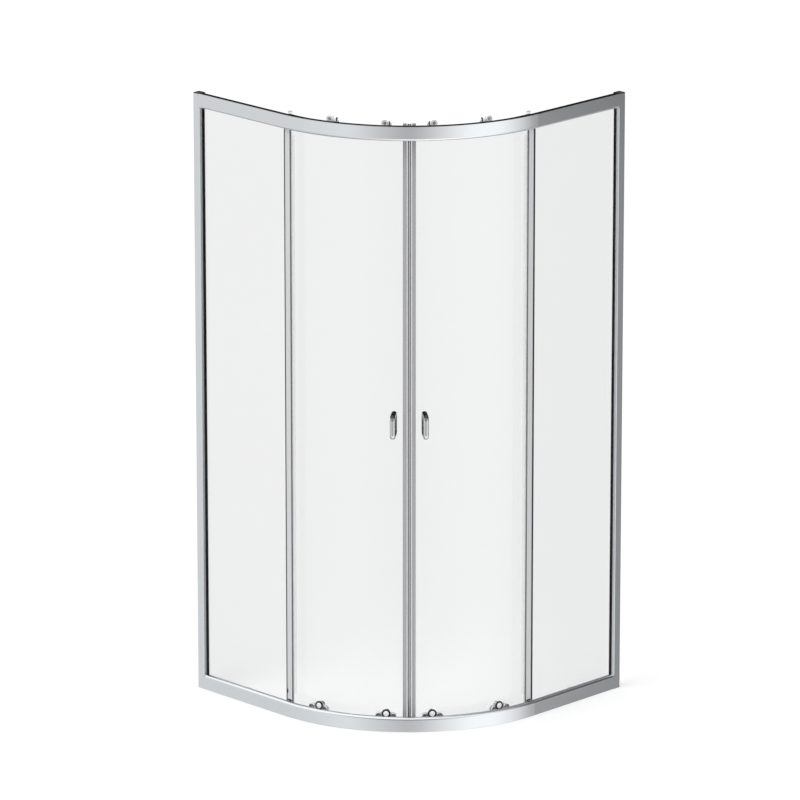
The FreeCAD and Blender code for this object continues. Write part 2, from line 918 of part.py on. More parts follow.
def door_pieces():
    """All pieces of the left door, by name."""
    outer, inner = handle_pair()
    top_seat = door_back + 2 * grip_gap + hanger_back
    bottom_seat = door_back + grip_gap
    hangers = [on_bend(top_hanger(), angle) for angle in top_roller_angles]
    yokes = [on_bend(bottom_yoke(), angle) for angle in bottom_roller_angles]
    bolts = [on_bend(top_roller_bolt(), angle) for angle in top_roller_angles]
    bolts += [on_bend(bottom_roller_bolt(), angle) for angle in bottom_roller_angles]
    caps = [on_bend(roller_cap(top_seat, hanger_x(), hanger_bolt_height), angle)
            for angle in top_roller_angles]
    caps += [on_bend(roller_cap(bottom_seat, bend_x, yoke_bolt_height), angle)
             for angle in bottom_roller_angles]
    pieces = {
        "door_glass": door_glass(),
        "magnet_profile": magnet_profile(),
        "magnet_holder": magnet_holder(),
        "magnet_strip": magnet_strip(),
        "trailing_seal": trailing_seal(),
        "handle_outer": outer,
        "handle_inner": inner,
        "handle_bolts": Part.makeCompound(handle_bolts()),
        "top_hangers": Part.makeCompound(hangers),
        "bottom_yokes": Part.makeCompound(yokes),
        "roller_bolts": Part.makeCompound(bolts),
        "roller_caps": Part.makeCompound(caps),
    }
    axles = []
    for name, angle, radius, depth, x, z in wheel_places():
        pieces[name] = on_bend(wheel(radius, depth, x, z), angle)
        axles.append(on_bend(wheel_axle(depth, x, z), angle))
    pieces["wheel_axles"] = Part.makeCompound(axles)
    return pieces


def left_frame_pieces():
    """Frame pieces that come in a left and a right hand."""
    return {
        "wall_profile": wall_profile(),
        "frame_post": frame_post(),
        "fixed_glass": fixed_glass(),
        "edge_profile": edge_profile(),
        "edge_seal": edge_seal(),
    }


def all_pieces():
    """Every piece of the enclosure, by the name of its file."""
    pieces = {
        "top_rail": top_rail(),
        "bottom_rail": bottom_rail(),
        "rail_gaskets": both(rail_gaskets()),
        "post_gaskets": both(post_gaskets()),
        "edge_gaskets": both(edge_gaskets()),
        "setting_blocks": both(setting_blocks()),
        "corner_blocks": both(corner_blocks()),
        "rail_screws": both(rail_screws()),
        "post_screws": both(post_screws()),
        "post_screw_caps": both(post_screw_caps()),
        "post_end_caps": both([post_end_cap()]),
        "door_stops": both([door_stop()]),
    }
    for name, shape in {**left_frame_pieces(), **door_pieces()}.items():
        pieces[name + "_left"] = shape
        pieces[name + "_right"] = mirrored(shape)
    return pieces


os.makedirs("parts", exist_ok=True)
for name, shape in all_pieces().items():
    shape.exportStep("parts/" + name + ".step")
    print(name, len(shape.Solids), "solid(s)", round(shape.Volume), "mm3", shape.isValid())
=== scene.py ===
# %% [markdown]
# A corner shower enclosure stands in the corner of a bathroom. It has two flat fixed panes, a track
# that is bent to a quarter circle, and two curved glass doors that roll along it. The construction
# model already holds every piece at its real size, so this lesson gives the pieces their finish,
# adds the small things that are too fine for construction, and sets up a plain studio.

# %% Load the construction model
import json
import math

import bmesh
import bpy
import numpy as np
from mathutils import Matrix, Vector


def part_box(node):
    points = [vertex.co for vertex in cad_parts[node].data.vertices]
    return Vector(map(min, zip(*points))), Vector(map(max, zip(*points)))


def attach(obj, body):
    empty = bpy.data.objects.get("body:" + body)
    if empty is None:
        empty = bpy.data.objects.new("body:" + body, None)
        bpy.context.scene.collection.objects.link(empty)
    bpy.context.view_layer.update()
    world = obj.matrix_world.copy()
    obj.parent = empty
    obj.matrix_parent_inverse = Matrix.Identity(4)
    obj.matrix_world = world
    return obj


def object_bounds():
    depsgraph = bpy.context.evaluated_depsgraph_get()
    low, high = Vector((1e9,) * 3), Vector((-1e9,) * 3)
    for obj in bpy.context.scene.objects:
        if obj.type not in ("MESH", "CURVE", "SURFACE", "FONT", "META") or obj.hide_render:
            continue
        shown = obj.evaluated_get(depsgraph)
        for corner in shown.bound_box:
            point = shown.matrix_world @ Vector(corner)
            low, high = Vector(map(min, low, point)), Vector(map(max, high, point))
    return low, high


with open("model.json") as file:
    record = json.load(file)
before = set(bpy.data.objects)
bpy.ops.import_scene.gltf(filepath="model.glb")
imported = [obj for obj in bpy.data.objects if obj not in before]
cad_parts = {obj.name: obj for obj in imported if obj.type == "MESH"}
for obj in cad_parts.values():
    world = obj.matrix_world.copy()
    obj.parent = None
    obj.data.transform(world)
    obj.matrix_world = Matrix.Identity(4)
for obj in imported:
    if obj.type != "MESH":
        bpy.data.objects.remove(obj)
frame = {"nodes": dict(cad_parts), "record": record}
cad_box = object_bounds()
nodes = frame["nodes"]
print("pieces:", len(nodes), "box:", [tuple(round(c, 4) for c in corner) for corner in cad_box])

# %% [markdown]
# Every finish below is a small graph of shader nodes around one Principled shader. Typing out each
# node and link would hide what the finish does, so short helpers add a node with its settings, read a
# noise pattern in object space, and turn the pattern into tones, values or relief. Object space is
# right here because each piece keeps its place in its mesh, so a pattern stays on the metal when a
# door slides.

# %% Helpers for shader graphs
WHITE = (1.0, 1.0, 1.0, 1.0)


def new_finish(name):
    """Empty material: returns it with its node tree and its Principled shader."""
    material = bpy.data.materials.new(name)
    material.use_nodes = True
    tree = material.node_tree
    return material, tree, tree.nodes["Principled BSDF"]


def add_node(tree, kind, settings=None, **links):
    """Node of a kind, with settings on its sockets and links from other sockets by socket name."""
    made = tree.nodes.new(kind)
    for socket, value in (settings or {}).items():
        made.inputs[socket].default_value = value
    for socket, source in links.items():
        tree.links.new(source, made.inputs[socket])
    return made


def noise(tree, scale, detail=2.0):
    """Noise from 0 to 1 in object space, scaled by (x, y, z) waves per metre."""
    place = add_node(tree, "ShaderNodeTexCoord")
    stretch = add_node(tree, "ShaderNodeMapping", {"Scale": scale}, Vector=place.outputs["Object"])
    pattern = add_node(tree, "ShaderNodeTexNoise", {"Scale": 1.0, "Detail": detail},
                       Vector=stretch.outputs["Vector"])
    return pattern.outputs["Fac"]


def spread(tree, source, low, high):
    """A 0 to 1 pattern spread over a range."""
    mapped = add_node(tree, "ShaderNodeMapRange", {"To Min": low, "To Max": high}, Value=source)
    return mapped.outputs["Result"]


def tones(tree, source, dark, light):
    """A 0 to 1 pattern turned into colours between a dark and a light tone."""
    ramp = add_node(tree, "ShaderNodeValToRGB", Fac=source)
    ramp.color_ramp.elements[0].color = (*dark, 1.0)
    ramp.color_ramp.elements[1].color = (*light, 1.0)
    return ramp.outputs["Color"]


def dimmed(tree, colour, amount, left):
    """Colour that sinks to a share of itself where an amount from 0 to 1 is full."""
    scale = add_node(tree, "ShaderNodeVectorMath")
    scale.operation = "SCALE"
    tree.links.new(colour, scale.inputs[0])
    tree.links.new(spread(tree, amount, 1.0, left), scale.inputs["Scale"])
    return scale.outputs["Vector"]


def height_share(tree, source, low, high):
    """0 below a low value, 1 above a high one, of the upright part of a direction or a place."""
    split = add_node(tree, "ShaderNodeSeparateXYZ", Vector=source)
    mapped = add_node(tree, "ShaderNodeMapRange", {"From Min": low, "From Max": high},
                      Value=split.outputs["Z"])
    return mapped.outputs["Result"]


def painted_shade_on_top(tree, shader, colour, bounds, tone, shine):
    """Painted shade: base colour sinks to a share of its tone, and of its shine, where the surface faces
    up.
    """
    facing = add_node(tree, "ShaderNodeTexCoord").outputs["Normal"]
    # Painted shade mask: how far the normal points up.
    painted_top_shade = height_share(tree, facing, *bounds)
    tree.links.new(dimmed(tree, colour, painted_top_shade, tone), shader.inputs["Base Color"])
    tree.links.new(spread(tree, painted_top_shade, 1.0, shine), shader.inputs["Specular Tint"])


def relief(tree, shader, source, depth):
    """A 0 to 1 pattern raised by a depth in metres."""
    bump = add_node(tree, "ShaderNodeBump", {"Distance": depth, "Strength": 1.0}, Height=source)
    tree.links.new(bump.outputs["Normal"], shader.inputs["Normal"])


print("helpers ready")

# %% [markdown]
# The frame is bright anodised aluminium. An extrusion is drawn through a die, which leaves very fine
# lines along its length, so the noise is squeezed across the profile and stretched along it. The
# posts stand and the rails lie, so there is one finish for each direction. The upper face of the top
# rail, which is dark in the photograph, gets painted shade: it is picked by its normal, and its colour
# sinks nearly to black. Metal turns white where it is seen at a low angle, so the painted shade takes that
# shine away too.

# %% Anodised aluminium
ALONG_RAIL = (3.0, 3.0, 1400.0)
ALONG_POST = (1400.0, 1400.0, 3.0)
DRAW_LINE_DEPTH = 0.000004
BRIGHT = ((0.765, 0.79, 0.81), (0.805, 0.83, 0.85))
BRIGHT_CLOUD = (6.0, 6.0, 6.0)
BRIGHT_ROUGHNESS = (0.16, 0.26)
# Painted shade on the upper face of the top rail: the share of tone and of shine left, and the upright
# normal range it fades over.
PAINTED_TRACK_SHADE, TRACK_SHADE_SHINE = 0.12, 0.5
TRACK_SHADE_BOUNDS = (0.15, 0.40)


def aluminium(name, lines, track=1.0, shine=1.0):
    """Bright metal with draw lines along it, with painted shade that sinks tone and shine to a share where
    it faces up.
    """
    material, tree, shader = new_finish(name)
    fine = noise(tree, lines)
    cloud = noise(tree, BRIGHT_CLOUD)
    shader.inputs["Metallic"].default_value = 1.0
    painted_shade_on_top(tree, shader, tones(tree, cloud, *BRIGHT), TRACK_SHADE_BOUNDS, track, shine)
    tree.links.new(spread(tree, fine, *BRIGHT_ROUGHNESS), shader.inputs["Roughness"])
    relief(tree, shader, fine, DRAW_LINE_DEPTH)
    return material


level_aluminium = aluminium("level_aluminium", ALONG_RAIL)
# The top rail carries painted shade on its upper face.
shaded_track_aluminium = aluminium("shaded_track_aluminium", ALONG_RAIL, PAINTED_TRACK_SHADE, TRACK_SHADE_SHINE)
upright_aluminium = aluminium("upright_aluminium", ALONG_POST)
print("metal:", level_aluminium.name, shaded_track_aluminium.name, upright_aluminium.name)

# %% [markdown]
# Handles, roller bolts and their cap nuts are chrome plated, which is close to a mirror with faint
# polishing marks. The handles are darker in the photograph than the rest, and nearly black on top, so
# their chrome gets painted shade: a darker copy of the chrome, which sinks further where it faces up,
# as the track does. Screws and axles are plain stainless steel, a little duller.

# %% Chrome and steel
POLISH_MARKS, POLISH_DETAIL, POLISH_DEPTH = (260.0, 260.0, 900.0), 4.0, 0.000002
MIRROR_ROUGHNESS, STEEL_ROUGHNESS = (0.03, 0.09), (0.30, 0.45)
CHROME_TONES = ((0.82, 0.83, 0.84), (0.88, 0.89, 0.90))
# Painted shade: the handle tones are a darker copy of the chrome tones.
SHADED_HANDLE_TONES = ((0.62, 0.63, 0.64), (0.69, 0.70, 0.71))
STEEL_TONES = ((0.62, 0.62, 0.62), (0.74, 0.74, 0.74))
# Painted shade on top of the handles: the share of tone and of shine left, and the upright normal range it
# fades over.
PAINTED_TOP_SHADE, TOP_SHADE_SHINE = 0.12, 0.45
TOP_SHADE_BOUNDS = (0.30, 0.60)


def plated(name, shades, roughness, top=1.0, shine=1.0):
    """Metal whose marks set tone, gloss and relief, with painted shade that sinks tone and shine to a
    share on top.
    """
    material, tree, shader = new_finish(name)
    marks = noise(tree, POLISH_MARKS, POLISH_DETAIL)
    shader.inputs["Metallic"].default_value = 1.0
    painted_shade_on_top(tree, shader, tones(tree, marks, *shades), TOP_SHADE_BOUNDS, top, shine)
    tree.links.new(spread(tree, marks, *roughness), shader.inputs["Roughness"])
    relief(tree, shader, marks, POLISH_DEPTH)
    return material


chrome = plated("chrome", CHROME_TONES, MIRROR_ROUGHNESS)
# The handles carry painted shade: darker chrome, darker still on top.
shaded_handle_chrome = plated("shaded_handle_chrome", SHADED_HANDLE_TONES, MIRROR_ROUGHNESS, PAINTED_TOP_SHADE, TOP_SHADE_SHINE)
steel = plated("steel", STEEL_TONES, STEEL_ROUGHNESS)
print("plated metal:", chrome.name, shaded_handle_chrome.name, steel.name)

# %% [markdown]
# Toughened glass is not perfectly flat: the rollers of the oven leave a faint wave. Clear glass also
# looks grey-green through its cut edges, which are the faces that look up or down, so the tint is
# chosen by how far the surface leans to the vertical.

# %% Toughened glass
GLASS_FACE, GLASS_EDGE = (0.838, 0.841, 0.843), (0.50, 0.66, 0.60)
GLASS_INDEX = 1.38
ROLLER_WAVE, WAVE_DEPTH = (0.6, 0.6, 3.4), 0.00004


def toughened_glass(name):
    """Clear glass: tint by the upright part of the normal, and a shallow roller wave along z."""
    material, tree, shader = new_finish(name)
    place = add_node(tree, "ShaderNodeTexCoord")
    split = add_node(tree, "ShaderNodeSeparateXYZ", Vector=place.outputs["Normal"])
    edge = add_node(tree, "ShaderNodeMath")
    edge.operation = "ABSOLUTE"
    tree.links.new(split.outputs["Z"], edge.inputs[0])
    tint = tones(tree, edge.outputs["Value"], GLASS_FACE, GLASS_EDGE)
    tree.links.new(tint, shader.inputs["Base Color"])
    shader.inputs["Transmission Weight"].default_value = 1.0
    shader.inputs["IOR"].default_value = GLASS_INDEX
    shader.inputs["Roughness"].default_value = 0.0
    relief(tree, shader, noise(tree, ROLLER_WAVE, detail=0.0), WAVE_DEPTH)
    return material


glass = toughened_glass("toughened_glass")
print("glass:", glass.name)

# %% [markdown]
# The rest is rubber, plastic and paint: black glazing gaskets, grey ones in the rails, white nylon
# wheels, moulded caps, the pale satin trim of the fixed panes and the satin grey edges of the doors.
# They differ in colour, gloss and in the grain of their skin, so one function serves. The magnets
# get painted shade that darkens them towards the floor, in the gap between the doors. The small
# white nylon parts get a painted glow, a faint even emission that brightens them.

# %% Rubber, plastic and paint
SKIN_DETAIL = 3.0
# Painted shade at the foot of the magnets: the share of tone left, and the two heights it fades between.
PAINTED_FOOT_SHADE, MAGNET_SHADE_HEIGHTS = 0.08, (0.048, 0.105)
NYLON_SKIN = ((0.86, 0.86, 0.85), (0.94, 0.94, 0.93), (0.35, 0.50), 600.0, 0.00001)
# Painted light: the even glow of the small white nylon parts, though they are no lamp.
PAINTED_NYLON_GLOW = 0.25


def moulded(name, dark, light, roughness, grain, depth, foot=None, glow=0.0):
    """Grain sets colour, gloss and relief. Painted shade sinks it below a foot given as two heights, and
    it may get a painted glow.
    """
    material, tree, shader = new_finish(name)
    skin = noise(tree, (grain, grain, grain), SKIN_DETAIL)
    colour = tones(tree, skin, dark, light)
    # Painted shade: the colour darkens towards the bottom, between the foot heights.
    if foot:
        place = add_node(tree, "ShaderNodeTexCoord").outputs["Object"]
        colour = dimmed(tree, colour, height_share(tree, place, foot[1], foot[0]), PAINTED_FOOT_SHADE)
    tree.links.new(colour, shader.inputs["Base Color"])
    tree.links.new(spread(tree, skin, *roughness), shader.inputs["Roughness"])
    relief(tree, shader, skin, depth)
    # Painted light: an emission that makes the part glow, though it is no lamp.
    shader.inputs["Emission Color"].default_value = WHITE
    shader.inputs["Emission Strength"].default_value = glow
    material.cycles.emission_sampling = "NONE"
    return material


gasket_rubber = moulded("gasket_rubber", (0.008, 0.008, 0.009), (0.016, 0.016, 0.018),
                        (0.42, 0.60), 900.0, 0.00003)
grey_rubber = moulded("grey_rubber", (0.16, 0.16, 0.17), (0.23, 0.23, 0.24),
                      (0.40, 0.55), 800.0, 0.00003)
pale_rubber = moulded("pale_rubber", (0.36, 0.36, 0.37), (0.44, 0.44, 0.45),
                      (0.40, 0.55), 800.0, 0.00003)
# The magnets carry painted shade, darker towards the bottom.
shaded_magnet_rubber = moulded("shaded_magnet_rubber", (0.17, 0.17, 0.18), (0.23, 0.23, 0.24),
                        (0.40, 0.55), 700.0, 0.00002, foot=MAGNET_SHADE_HEIGHTS)
black_cap = moulded("black_cap", (0.006, 0.006, 0.006), (0.014, 0.014, 0.014),
                    (0.35, 0.50), 1100.0, 0.00002)
grey_cap = moulded("grey_cap", (0.60, 0.61, 0.62), (0.68, 0.69, 0.70),
                   (0.18, 0.30), 500.0, 0.00001)
nylon = moulded("white_nylon", *NYLON_SKIN)
# Nylon with a painted glow.
painted_glow_nylon = moulded("painted_glow_nylon", *NYLON_SKIN, glow=PAINTED_NYLON_GLOW)
satin_trim = moulded("satin_trim", (0.72, 0.73, 0.74), (0.80, 0.81, 0.82),
                     (0.28, 0.42), 300.0, 0.00001)
satin_edge = moulded("satin_edge", (0.42, 0.425, 0.44), (0.48, 0.485, 0.50),
                     (0.26, 0.38), 300.0, 0.00001)
print("rubber, plastic and paint, from", gasket_rubber.name, "to", satin_edge.name)

# %% [markdown]
# The seals on the doors and the strips that hold the magnets are soft PVC that lets light through. It
# is milky: most light goes straight on, and a pale skin with fine clouds keeps the rest. Thin soft
# strips bend light so little that no lens effect is needed. The plastic round the magnets is greyer
# and denser.

# %% Translucent seals
SEAL_CLOUD, SEAL_DEPTH = (120.0, 120.0, 12.0), 0.00001
SEAL_ROUGHNESS = (0.25, 0.40)


def soft_seal(name, dark, light, thin, thick):
    """Pale skin mixed with clear: the clouds decide how much of the skin shows."""
    material, tree, shader = new_finish(name)
    cloud = noise(tree, SEAL_CLOUD, SKIN_DETAIL)
    tree.links.new(tones(tree, cloud, dark, light), shader.inputs["Base Color"])
    tree.links.new(spread(tree, cloud, *SEAL_ROUGHNESS), shader.inputs["Roughness"])
    relief(tree, shader, cloud, SEAL_DEPTH)
    clear = add_node(tree, "ShaderNodeBsdfTransparent")
    mix = add_node(tree, "ShaderNodeMixShader", Fac=spread(tree, cloud, thin, thick))
    tree.links.new(clear.outputs["BSDF"], mix.inputs[1])
    tree.links.new(shader.outputs["BSDF"], mix.inputs[2])
    tree.links.new(mix.outputs["Shader"], tree.nodes["Material Output"].inputs["Surface"])
    return material


clear_seal = soft_seal("soft_seal", (0.80, 0.81, 0.82), (0.90, 0.91, 0.92), 0.10, 0.24)
holder_seal = soft_seal("holder_seal", (0.40, 0.41, 0.43), (0.48, 0.49, 0.51), 0.20, 0.32)
print("seals:", clear_seal.name, holder_seal.name)

# %% [markdown]
# The imported record names a material slot for every piece, and each slot has one finish. A few pieces
# differ: the two rails lie, so their draw lines run the other way, and the top rail has painted shade on
# its upper face; the edges of the doors, the trim of the fixed panes, the hangers and the yokes are satin,
# the gaskets in the rails are paler than in the posts, the bumpers that stop the doors are clear, the top
# wheels get a painted glow, and the handles, with painted shade, and the plastic round the magnets have
# their own finish.

# %% Put the finishes on the construction pieces
FINISHES = {
    "aluminium": upright_aluminium, "glass": glass, "gasket": gasket_rubber, "seal": clear_seal,
    "magnet": shaded_magnet_rubber, "dark_cap": black_cap, "grey_cap": grey_cap, "steel": steel,
    "chrome": chrome, "wheel": nylon,
}
SINGLE_FINISHES = {
    "top_rail": shaded_track_aluminium, "bottom_rail": level_aluminium, "rail_gaskets": pale_rubber,
    "door_stops": clear_seal,
}
PAIR_FINISHES = {
    "magnet_profile": satin_edge, "magnet_holder": holder_seal, "edge_profile": satin_trim,
    "top_hangers": satin_trim, "bottom_yokes": satin_trim, "top_wheel_front": painted_glow_nylon,
    "top_wheel_rear": painted_glow_nylon, "handle_outer": shaded_handle_chrome, "handle_inner": shaded_handle_chrome,
}
CLEAR_FINISHES = (glass, clear_seal, holder_seal)
SIDES = {"left": -1.0, "right": 1.0}

own_finishes = dict(SINGLE_FINISHES)
for side in SIDES:
    own_finishes.update({f"{piece}_{side}": finish for piece, finish in PAIR_FINISHES.items()})
for part in frame["record"]["subparts"]:
    finish = own_finishes.get(part["node"], FINISHES[part["material_slot"]])
    piece = nodes[part["node"]]
    piece.data.materials.clear()
    piece.data.materials.append(finish)
    if finish in CLEAR_FINISHES:
        piece.visible_shadow = False

# %% [markdown]
# Some details are too fine for construction: rings on the wheels, rings and buttons on the bottom bolts,
# plugs in the ends of the door profiles, blocks on the hangers, and rubber strips along the trim of the
# fixed panes. Each is a surface worked out as one array of points, a closed section that is carried
# along a path or turned about an axis. A cylinder or a box with a bevel could stand in for them, but
# the array gives soft edges with few faces.

# %% Skin over a grid of points
SOFT_EDGE = math.radians(40.0)
SAME_POINT = 1e-7
UP = np.array([0.0, 0.0, 1.0])


def small_piece(name, grid, finish, slot, body):
    """Skin over P(i, j), closed in j. Rows of one point close the ends, an equal last row a ring."""
    here = np.arange(grid.shape[0] * grid.shape[1]).reshape(grid.shape[:2])
    ahead = np.roll(here, -1, axis=1)
    faces = np.stack([here[:-1], ahead[:-1], ahead[1:], here[1:]], axis=-1).reshape(-1, 4)
    mesh = bpy.data.meshes.new(name)
    mesh.from_pydata(grid.reshape(-1, 3).tolist(), [], faces.tolist())
    skin = bmesh.new()
    skin.from_mesh(mesh)
    bmesh.ops.remove_doubles(skin, verts=skin.verts, dist=SAME_POINT)
    bmesh.ops.recalc_face_normals(skin, faces=skin.faces)
    skin.to_mesh(mesh)
    skin.free()
    mesh.shade_smooth()
    mesh.set_sharp_from_angle(angle=SOFT_EDGE)
    mesh.materials.append(finish)
    piece = bpy.data.objects.new(name, mesh)
    bpy.context.scene.collection.objects.link(piece)
    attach(piece, body)
    return piece


def turned_grid(centre, normal, radii, rises, steps):
    """P(i, a) = c + r_i (u cos a + v sin a) + h_i n, turned about a level n, with u level and v up."""
    turn = np.linspace(0.0, 2.0 * math.pi, steps, endpoint=False)
    spoke = np.cos(turn)[:, None] * np.cross(UP, normal) + np.sin(turn)[:, None] * UP
    return centre + radii[:, None, None] * spoke + rises[:, None, None] * normal


def soft_loop(half_width, half_height, steps, power=0.5):
    """Closed rounded rectangle: x = w sgn(cos b)|cos b|^p, y = h sgn(sin b)|sin b|^p."""
    turn = np.linspace(0.0, 2.0 * math.pi, steps)
    wide, high = np.cos(turn), np.sin(turn)
    return (half_width * np.sign(wide) * np.abs(wide) ** power,
            half_height * np.sign(high) * np.abs(high) ** power)


print("helpers for small pieces ready")

# %% [markdown]
# Every wheel runs on a small ball bearing that is pressed into the nylon. A ring shows round the axle,
# steel at the bottom and a moulded shield at the top. A seam runs round the rim, on the bottom wheels
# wide and black; on the top wheels it is thin and grey, painted shade that gives the white rim the
# dark outline its shading shows. The joints of the record give the middle and the axis of each wheel,
# so the rings can be placed and can ride on the wheel without any measuring.

# %% Rings on the wheels
WHEEL_HALF = 0.003
BEARING_RADIUS, BEARING_HALF = 0.0054, 0.0009
SEAM_INSET = 0.0012
# The thin grey seam of the top wheels is painted shade, the outline of the rim's shading.
SEAMS = {"top": (0.0006, grey_rubber, "gasket"), "bottom": (0.0011, black_cap, "dark_cap")}
BEARINGS = {"top": (grey_cap, "grey_cap"), "bottom": (steel, "steel")}
RING_PROUD = 0.00035
RING_SECTION_STEPS, RING_STEPS = 13, 40


def ring_grid(middle, out, radius, half):
    """Flat ring: a soft loop of some width turned about the axis at a radius."""
    across, rise = soft_loop(half, RING_PROUD, RING_SECTION_STEPS)
    return turned_grid(middle, out, radius + across, rise, RING_STEPS)


wheels = [joint for joint in frame["record"]["behaviour"]["joints"] if "wheel" in joint["child"]]
for joint in wheels:
    wheel = joint["child"]
    out = np.array(joint["axis"]) * (1.0 if wheel.endswith("_left") else -1.0)
    middle = np.array(joint["pos_m"]) + WHEEL_HALF * out
    lowest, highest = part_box(wheel)
    rim = (highest[2] - lowest[2]) / 2.0
    end = wheel.split("_")[0]
    small_piece("bearing_ring_" + wheel, ring_grid(middle, out, BEARING_RADIUS, BEARING_HALF),
                *BEARINGS[end], wheel)
    half, finish, slot = SEAMS[end]
    small_piece("rim_seam_" + wheel, ring_grid(middle, out, rim - SEAM_INSET, half),
                finish, slot, wheel)
print("wheels with rings:", len(wheels))

# %% [markdown]
# The bottom rollers are held by bolts with a wide round head. A black ring of painted reflection lies
# round the head, standing in for the dark that the chrome head reflects, and a white button with a
# painted glow covers its middle, standing in for the white the head shows there. The bolts stand
# square to the bend, so their place is a compass angle, a depth behind the face of the rail and a height.

# %% Rings and buttons on the bottom bolts
BEND = np.array([-0.080, 0.080, 0.0])
BEND_RADIUS, BEND_COMPASS = 0.530, -45.0
BOLT_ANGLES = {"front": 8.0, "rear": 33.0}
BOLT_HEIGHT, BOLT_CROWN, BOLT_RIM = 0.045, 0.037, 0.0386
BOLT_RING, BOLT_RING_HALF, BOLT_RING_DEEP = 0.0107, 0.0027, 0.0024
BOLT_RING_POWER, BOLT_RING_SECTION_STEPS, BOLT_RING_STEPS = 0.8, 17, 56
BUTTON_RADIUS, BUTTON_CROWN, BUTTON_STEPS = 0.0082, 0.0015, 48


def bend_normal(side, angle):
    """Outward direction on the bend, by the angle in degrees from its middle."""
    compass = np.radians(BEND_COMPASS + SIDES[side] * np.asarray(angle))
    return np.stack([np.cos(compass), np.sin(compass), np.zeros_like(compass)], axis=-1)


def on_bend(side, angle, depth, height):
    """Point at a depth behind the face of the rail and at a height."""
    return BEND + (BEND_RADIUS - depth) * bend_normal(side, angle) + height * UP


def button_profile(radius, crown, steps=9):
    """Back face, rim and a crown h = c sqrt(sin t) over r = R cos t."""
    lift = np.linspace(0.0, math.pi / 2.0, steps)
    radii = np.concatenate([[0.0], radius * np.cos(lift)])
    rises = np.concatenate([[0.0], crown * np.sqrt(np.sin(lift))])
    radii[-1] = 0.0
    return radii, rises


for side in SIDES:
    for place, angle in BOLT_ANGLES.items():
        out = bend_normal(side, angle)
        across, rise = soft_loop(BOLT_RING_HALF, BOLT_RING_DEEP, BOLT_RING_SECTION_STEPS, BOLT_RING_POWER)
        ring = turned_grid(on_bend(side, angle, BOLT_RIM, BOLT_HEIGHT), out,
                           BOLT_RING + across, rise, BOLT_RING_STEPS)
        button = turned_grid(on_bend(side, angle, BOLT_CROWN, BOLT_HEIGHT), out,
                             *button_profile(BUTTON_RADIUS, BUTTON_CROWN), BUTTON_STEPS)
        # The black ring is painted reflection of the chrome head, and the button a white part with a
        # painted glow where the head shows white.
        small_piece(f"bolt_ring_{place}_{side}", ring, black_cap, "dark_cap", "door_" + side)
        small_piece(f"bolt_button_{place}_{side}", button, painted_glow_nylon, "wheel", "door_" + side)
print("bolt rings and buttons:", 2 * len(SIDES) * len(BOLT_ANGLES))

# %% [markdown]
# The sawn ends of the door profiles are closed with moulded plugs. A plug is a rounded rectangle in
# depth and height that is carried along the bend. It is drawn in a little at both ends and then
# closed, so its corners are soft.

# %% Plugs on the door profiles
DOOR_RADIUS = 0.483
PLUG_HEIGHT = 0.0016
PLUG_DRAWN_IN, PLUG_BEVEL = 0.82, 0.06
PLUG_POWER, PLUG_SECTION_STEPS = 0.35, 25
PLUGS = {
    "leading_plug": ("magnet_profile", (0.0080, 0.0190), (0.0450, 0.0540)),
    "trailing_plug": ("trailing_seal", (0.3842, 0.3962), (0.0455, 0.0535)),
}


def plug_grid(side, lengths, depths, low, tall):
    """P(i, j) = bend(s_i, d + k_i x_j) + up (z + k_i y_j), with k_i = 0 at both ends."""
    shares = np.array([0.0, 0.0, PLUG_BEVEL, 0.5, 1.0 - PLUG_BEVEL, 1.0, 1.0])
    scale = np.array([0.0, PLUG_DRAWN_IN, 1.0, 1.0, 1.0, PLUG_DRAWN_IN, 0.0])
    angles = np.degrees((lengths[0] + (lengths[1] - lengths[0]) * shares) / DOOR_RADIUS)
    across, rise = soft_loop((depths[1] - depths[0]) / 2.0, tall / 2.0, PLUG_SECTION_STEPS, PLUG_POWER)
    depth = sum(depths) / 2.0 + scale[:, None] * across[:-1]
    level = low + tall / 2.0 + scale[:, None] * rise[:-1]
    spoke = bend_normal(side, angles)[:, None, :]
    return BEND + (BEND_RADIUS - depth)[..., None] * spoke + level[..., None] * UP


for side in SIDES:
    for name, (carrier, lengths, depths) in PLUGS.items():
        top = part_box(f"{carrier}_{side}")[1][2]
        small_piece(f"{name}_{side}", plug_grid(side, lengths, depths, top, PLUG_HEIGHT),
                    grey_cap, "grey_cap", "door_" + side)
print("plugs:", len(SIDES) * len(PLUGS))

# %% [markdown]
# Beside each top wheel a white block sits on the face of the hanger. It holds the screw that sets the
# height of the door, and a black pad closes its side towards the middle. Both have the form of a plug,
# so the same grid makes them. Their place is the arc length of the wheel less a reach, which the
# photograph shows to be longer on the rear hangers.

# %% Blocks on the top hangers
HANGER_ANGLES = {"front": 8.2, "rear": 27.5}
PAD_REACH = {"front": 0.0112, "rear": 0.0152}
PAD_HALF, PAD_LAP = 0.0014, 0.0002
BLOCK_REACH = 0.0064
HANGER_DEPTHS = (0.0412, 0.0484)
BLOCK_LOW, BLOCK_HEIGHT = 1.8440, 0.0100
PAD_LOW, PAD_HEIGHT = 1.8426, 0.0120

